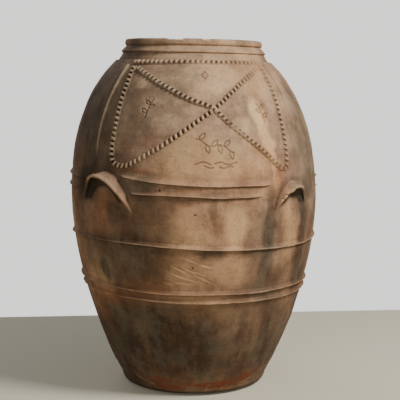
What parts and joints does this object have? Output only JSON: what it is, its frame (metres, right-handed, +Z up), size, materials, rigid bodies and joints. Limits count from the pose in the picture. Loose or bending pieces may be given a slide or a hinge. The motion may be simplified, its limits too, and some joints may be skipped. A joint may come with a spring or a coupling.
{
  "type": "storage jar",
  "caption": "Tall bulging fired-clay storage jar with a narrow foot, stepped rolled rim, beaded bands, hooded shoulder handles and crossing notched clay strings on the front.",
  "frame": {"origin": "centre of the face the jar rests on", "axes": "+Z up along the jar's axis, the decorated panel faces -Y, the handles stand on the diagonals between X and Y"},
  "size_m": [0.661, 0.661, 0.9],
  "materials": {
    "fired_clay": "matte unglazed tan clay with soot streaks",
    "sooted_clay": "matte unglazed brown clay darkened by soot",
    "red_clay": "matte unglazed red-orange clay worn bare"
  },
  "bodies": {
    "root": {"base_slab": "sooted_clay", "foot_band": "red_clay", "lower_wall": "sooted_clay", "lower_band": "sooted_clay", "belly_wall": "fired_clay", "middle_band": "fired_clay", "upper_wall": "fired_clay", "handle_band_front": "fired_clay", "handle_band_right": "fired_clay", "handle_band_back": "fired_clay", "handle_band_left": "fired_clay", "shoulder_wall": "fired_clay", "neck_ring": "fired_clay", "neck_collar": "fired_clay", "rim_lip": "fired_clay", "handle_front_left": "fired_clay", "handle_front_right": "fired_clay", "handle_back_right": "fired_clay", "handle_back_left": "fired_clay", "string_top": "fired_clay", "string_left_loop": "fired_clay", "string_right_loop": "fired_clay", "rib_left": "fired_clay", "rib_right": "fired_clay"}
  },
  "joints": []
}
